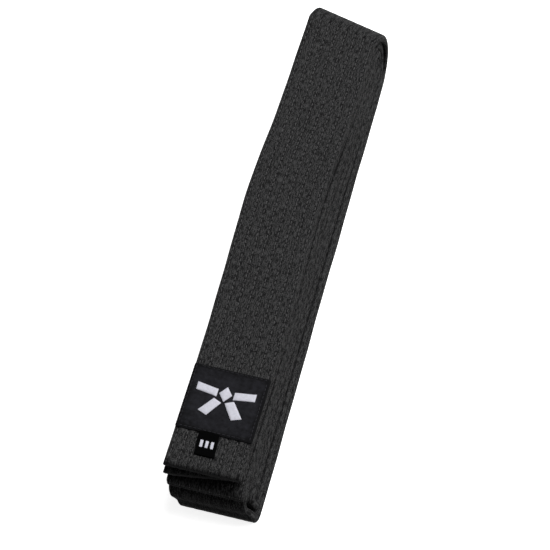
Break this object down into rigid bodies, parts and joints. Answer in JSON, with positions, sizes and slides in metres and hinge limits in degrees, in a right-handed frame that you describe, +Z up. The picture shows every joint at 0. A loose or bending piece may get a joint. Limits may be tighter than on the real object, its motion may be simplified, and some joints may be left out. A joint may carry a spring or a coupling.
{
  "type": "martial arts belt",
  "caption": "Black quilted cotton martial arts belt, folded into a flat stack, with a sewn label and a size tag near one tip; its top run lifts.",
  "frame": {"origin": "centre of the bounding box in plan, on the plane the folded belt rests on", "axes": "+Z up out of the stack, +Y along the runs from the belt's tips to the far fold, +X across the belt with the tips towards the viewer"},
  "size_m": [0.0522, 0.3544, 0.0388],
  "materials": {
    "black_cover_cloth": "matte woven cotton",
    "cotton_core": "matte cotton interlining",
    "black_thread": "slightly shiny polyester thread",
    "label_weave": "fine satin-woven label",
    "white_thread": "shiny embroidery thread",
    "tag_ribbon": "smooth woven ribbon"
  },
  "bodies": {
    "bundle": {"bundle_cover": "black_cover_cloth", "bundle_core_ply_1": "cotton_core", "bundle_core_ply_2": "cotton_core", "bundle_core_ply_3": "cotton_core", "bundle_needle_row_1": "black_thread", "bundle_needle_row_2": "black_thread", "bundle_needle_row_3": "black_thread", "bundle_needle_row_4": "black_thread", "bundle_needle_row_5": "black_thread", "bundle_needle_row_6": "black_thread", "bundle_needle_row_7": "black_thread", "bundle_needle_row_8": "black_thread", "bundle_bobbin_row_1": "black_thread", "bundle_bobbin_row_2": "black_thread", "bundle_bobbin_row_3": "black_thread", "bundle_bobbin_row_4": "black_thread", "bundle_bobbin_row_5": "black_thread", "bundle_bobbin_row_6": "black_thread", "bundle_bobbin_row_7": "black_thread", "bundle_bobbin_row_8": "black_thread", "bundle_tip_hem": "black_cover_cloth"},
    "top_run": {"top_run_cover": "black_cover_cloth", "top_run_core_ply_1": "cotton_core", "top_run_core_ply_2": "cotton_core", "top_run_core_ply_3": "cotton_core", "top_run_needle_row_1": "black_thread", "top_run_needle_row_2": "black_thread", "top_run_needle_row_3": "black_thread", "top_run_needle_row_4": "black_thread", "top_run_needle_row_5": "black_thread", "top_run_needle_row_6": "black_thread", "top_run_needle_row_7": "black_thread", "top_run_needle_row_8": "black_thread", "top_run_bobbin_row_1": "black_thread", "top_run_bobbin_row_2": "black_thread", "top_run_bobbin_row_3": "black_thread", "top_run_bobbin_row_4": "black_thread", "top_run_bobbin_row_5": "black_thread", "top_run_bobbin_row_6": "black_thread", "top_run_bobbin_row_7": "black_thread", "top_run_bobbin_row_8": "black_thread", "top_run_tip_hem": "black_cover_cloth", "label_patch": "label_weave", "label_border_stitching": "black_thread", "emblem_band_left": "white_thread", "emblem_band_right": "white_thread", "emblem_knot": "white_thread", "emblem_tail_left": "white_thread", "emblem_tail_right": "white_thread"},
    "size_tag": {"size_tag": "tag_ribbon", "size_tag_mark_1": "white_thread", "size_tag_mark_2": "white_thread", "size_tag_mark_3": "white_thread"}
  },
  "joints": [
    {"name": "top_run_lift", "type": "hinge", "parent": "bundle", "child": "top_run", "pos_m": [-0.0049, 0.12913, 0.0433], "axis": [-1, 0, 0], "range_deg": [0, 170]},
    {"name": "size_tag_flip", "type": "hinge", "parent": "top_run", "child": "size_tag", "pos_m": [-0.00813, -0.15152, 0.03825], "axis": [-1, 0, 0], "range_deg": [0, 150]}
  ]
}
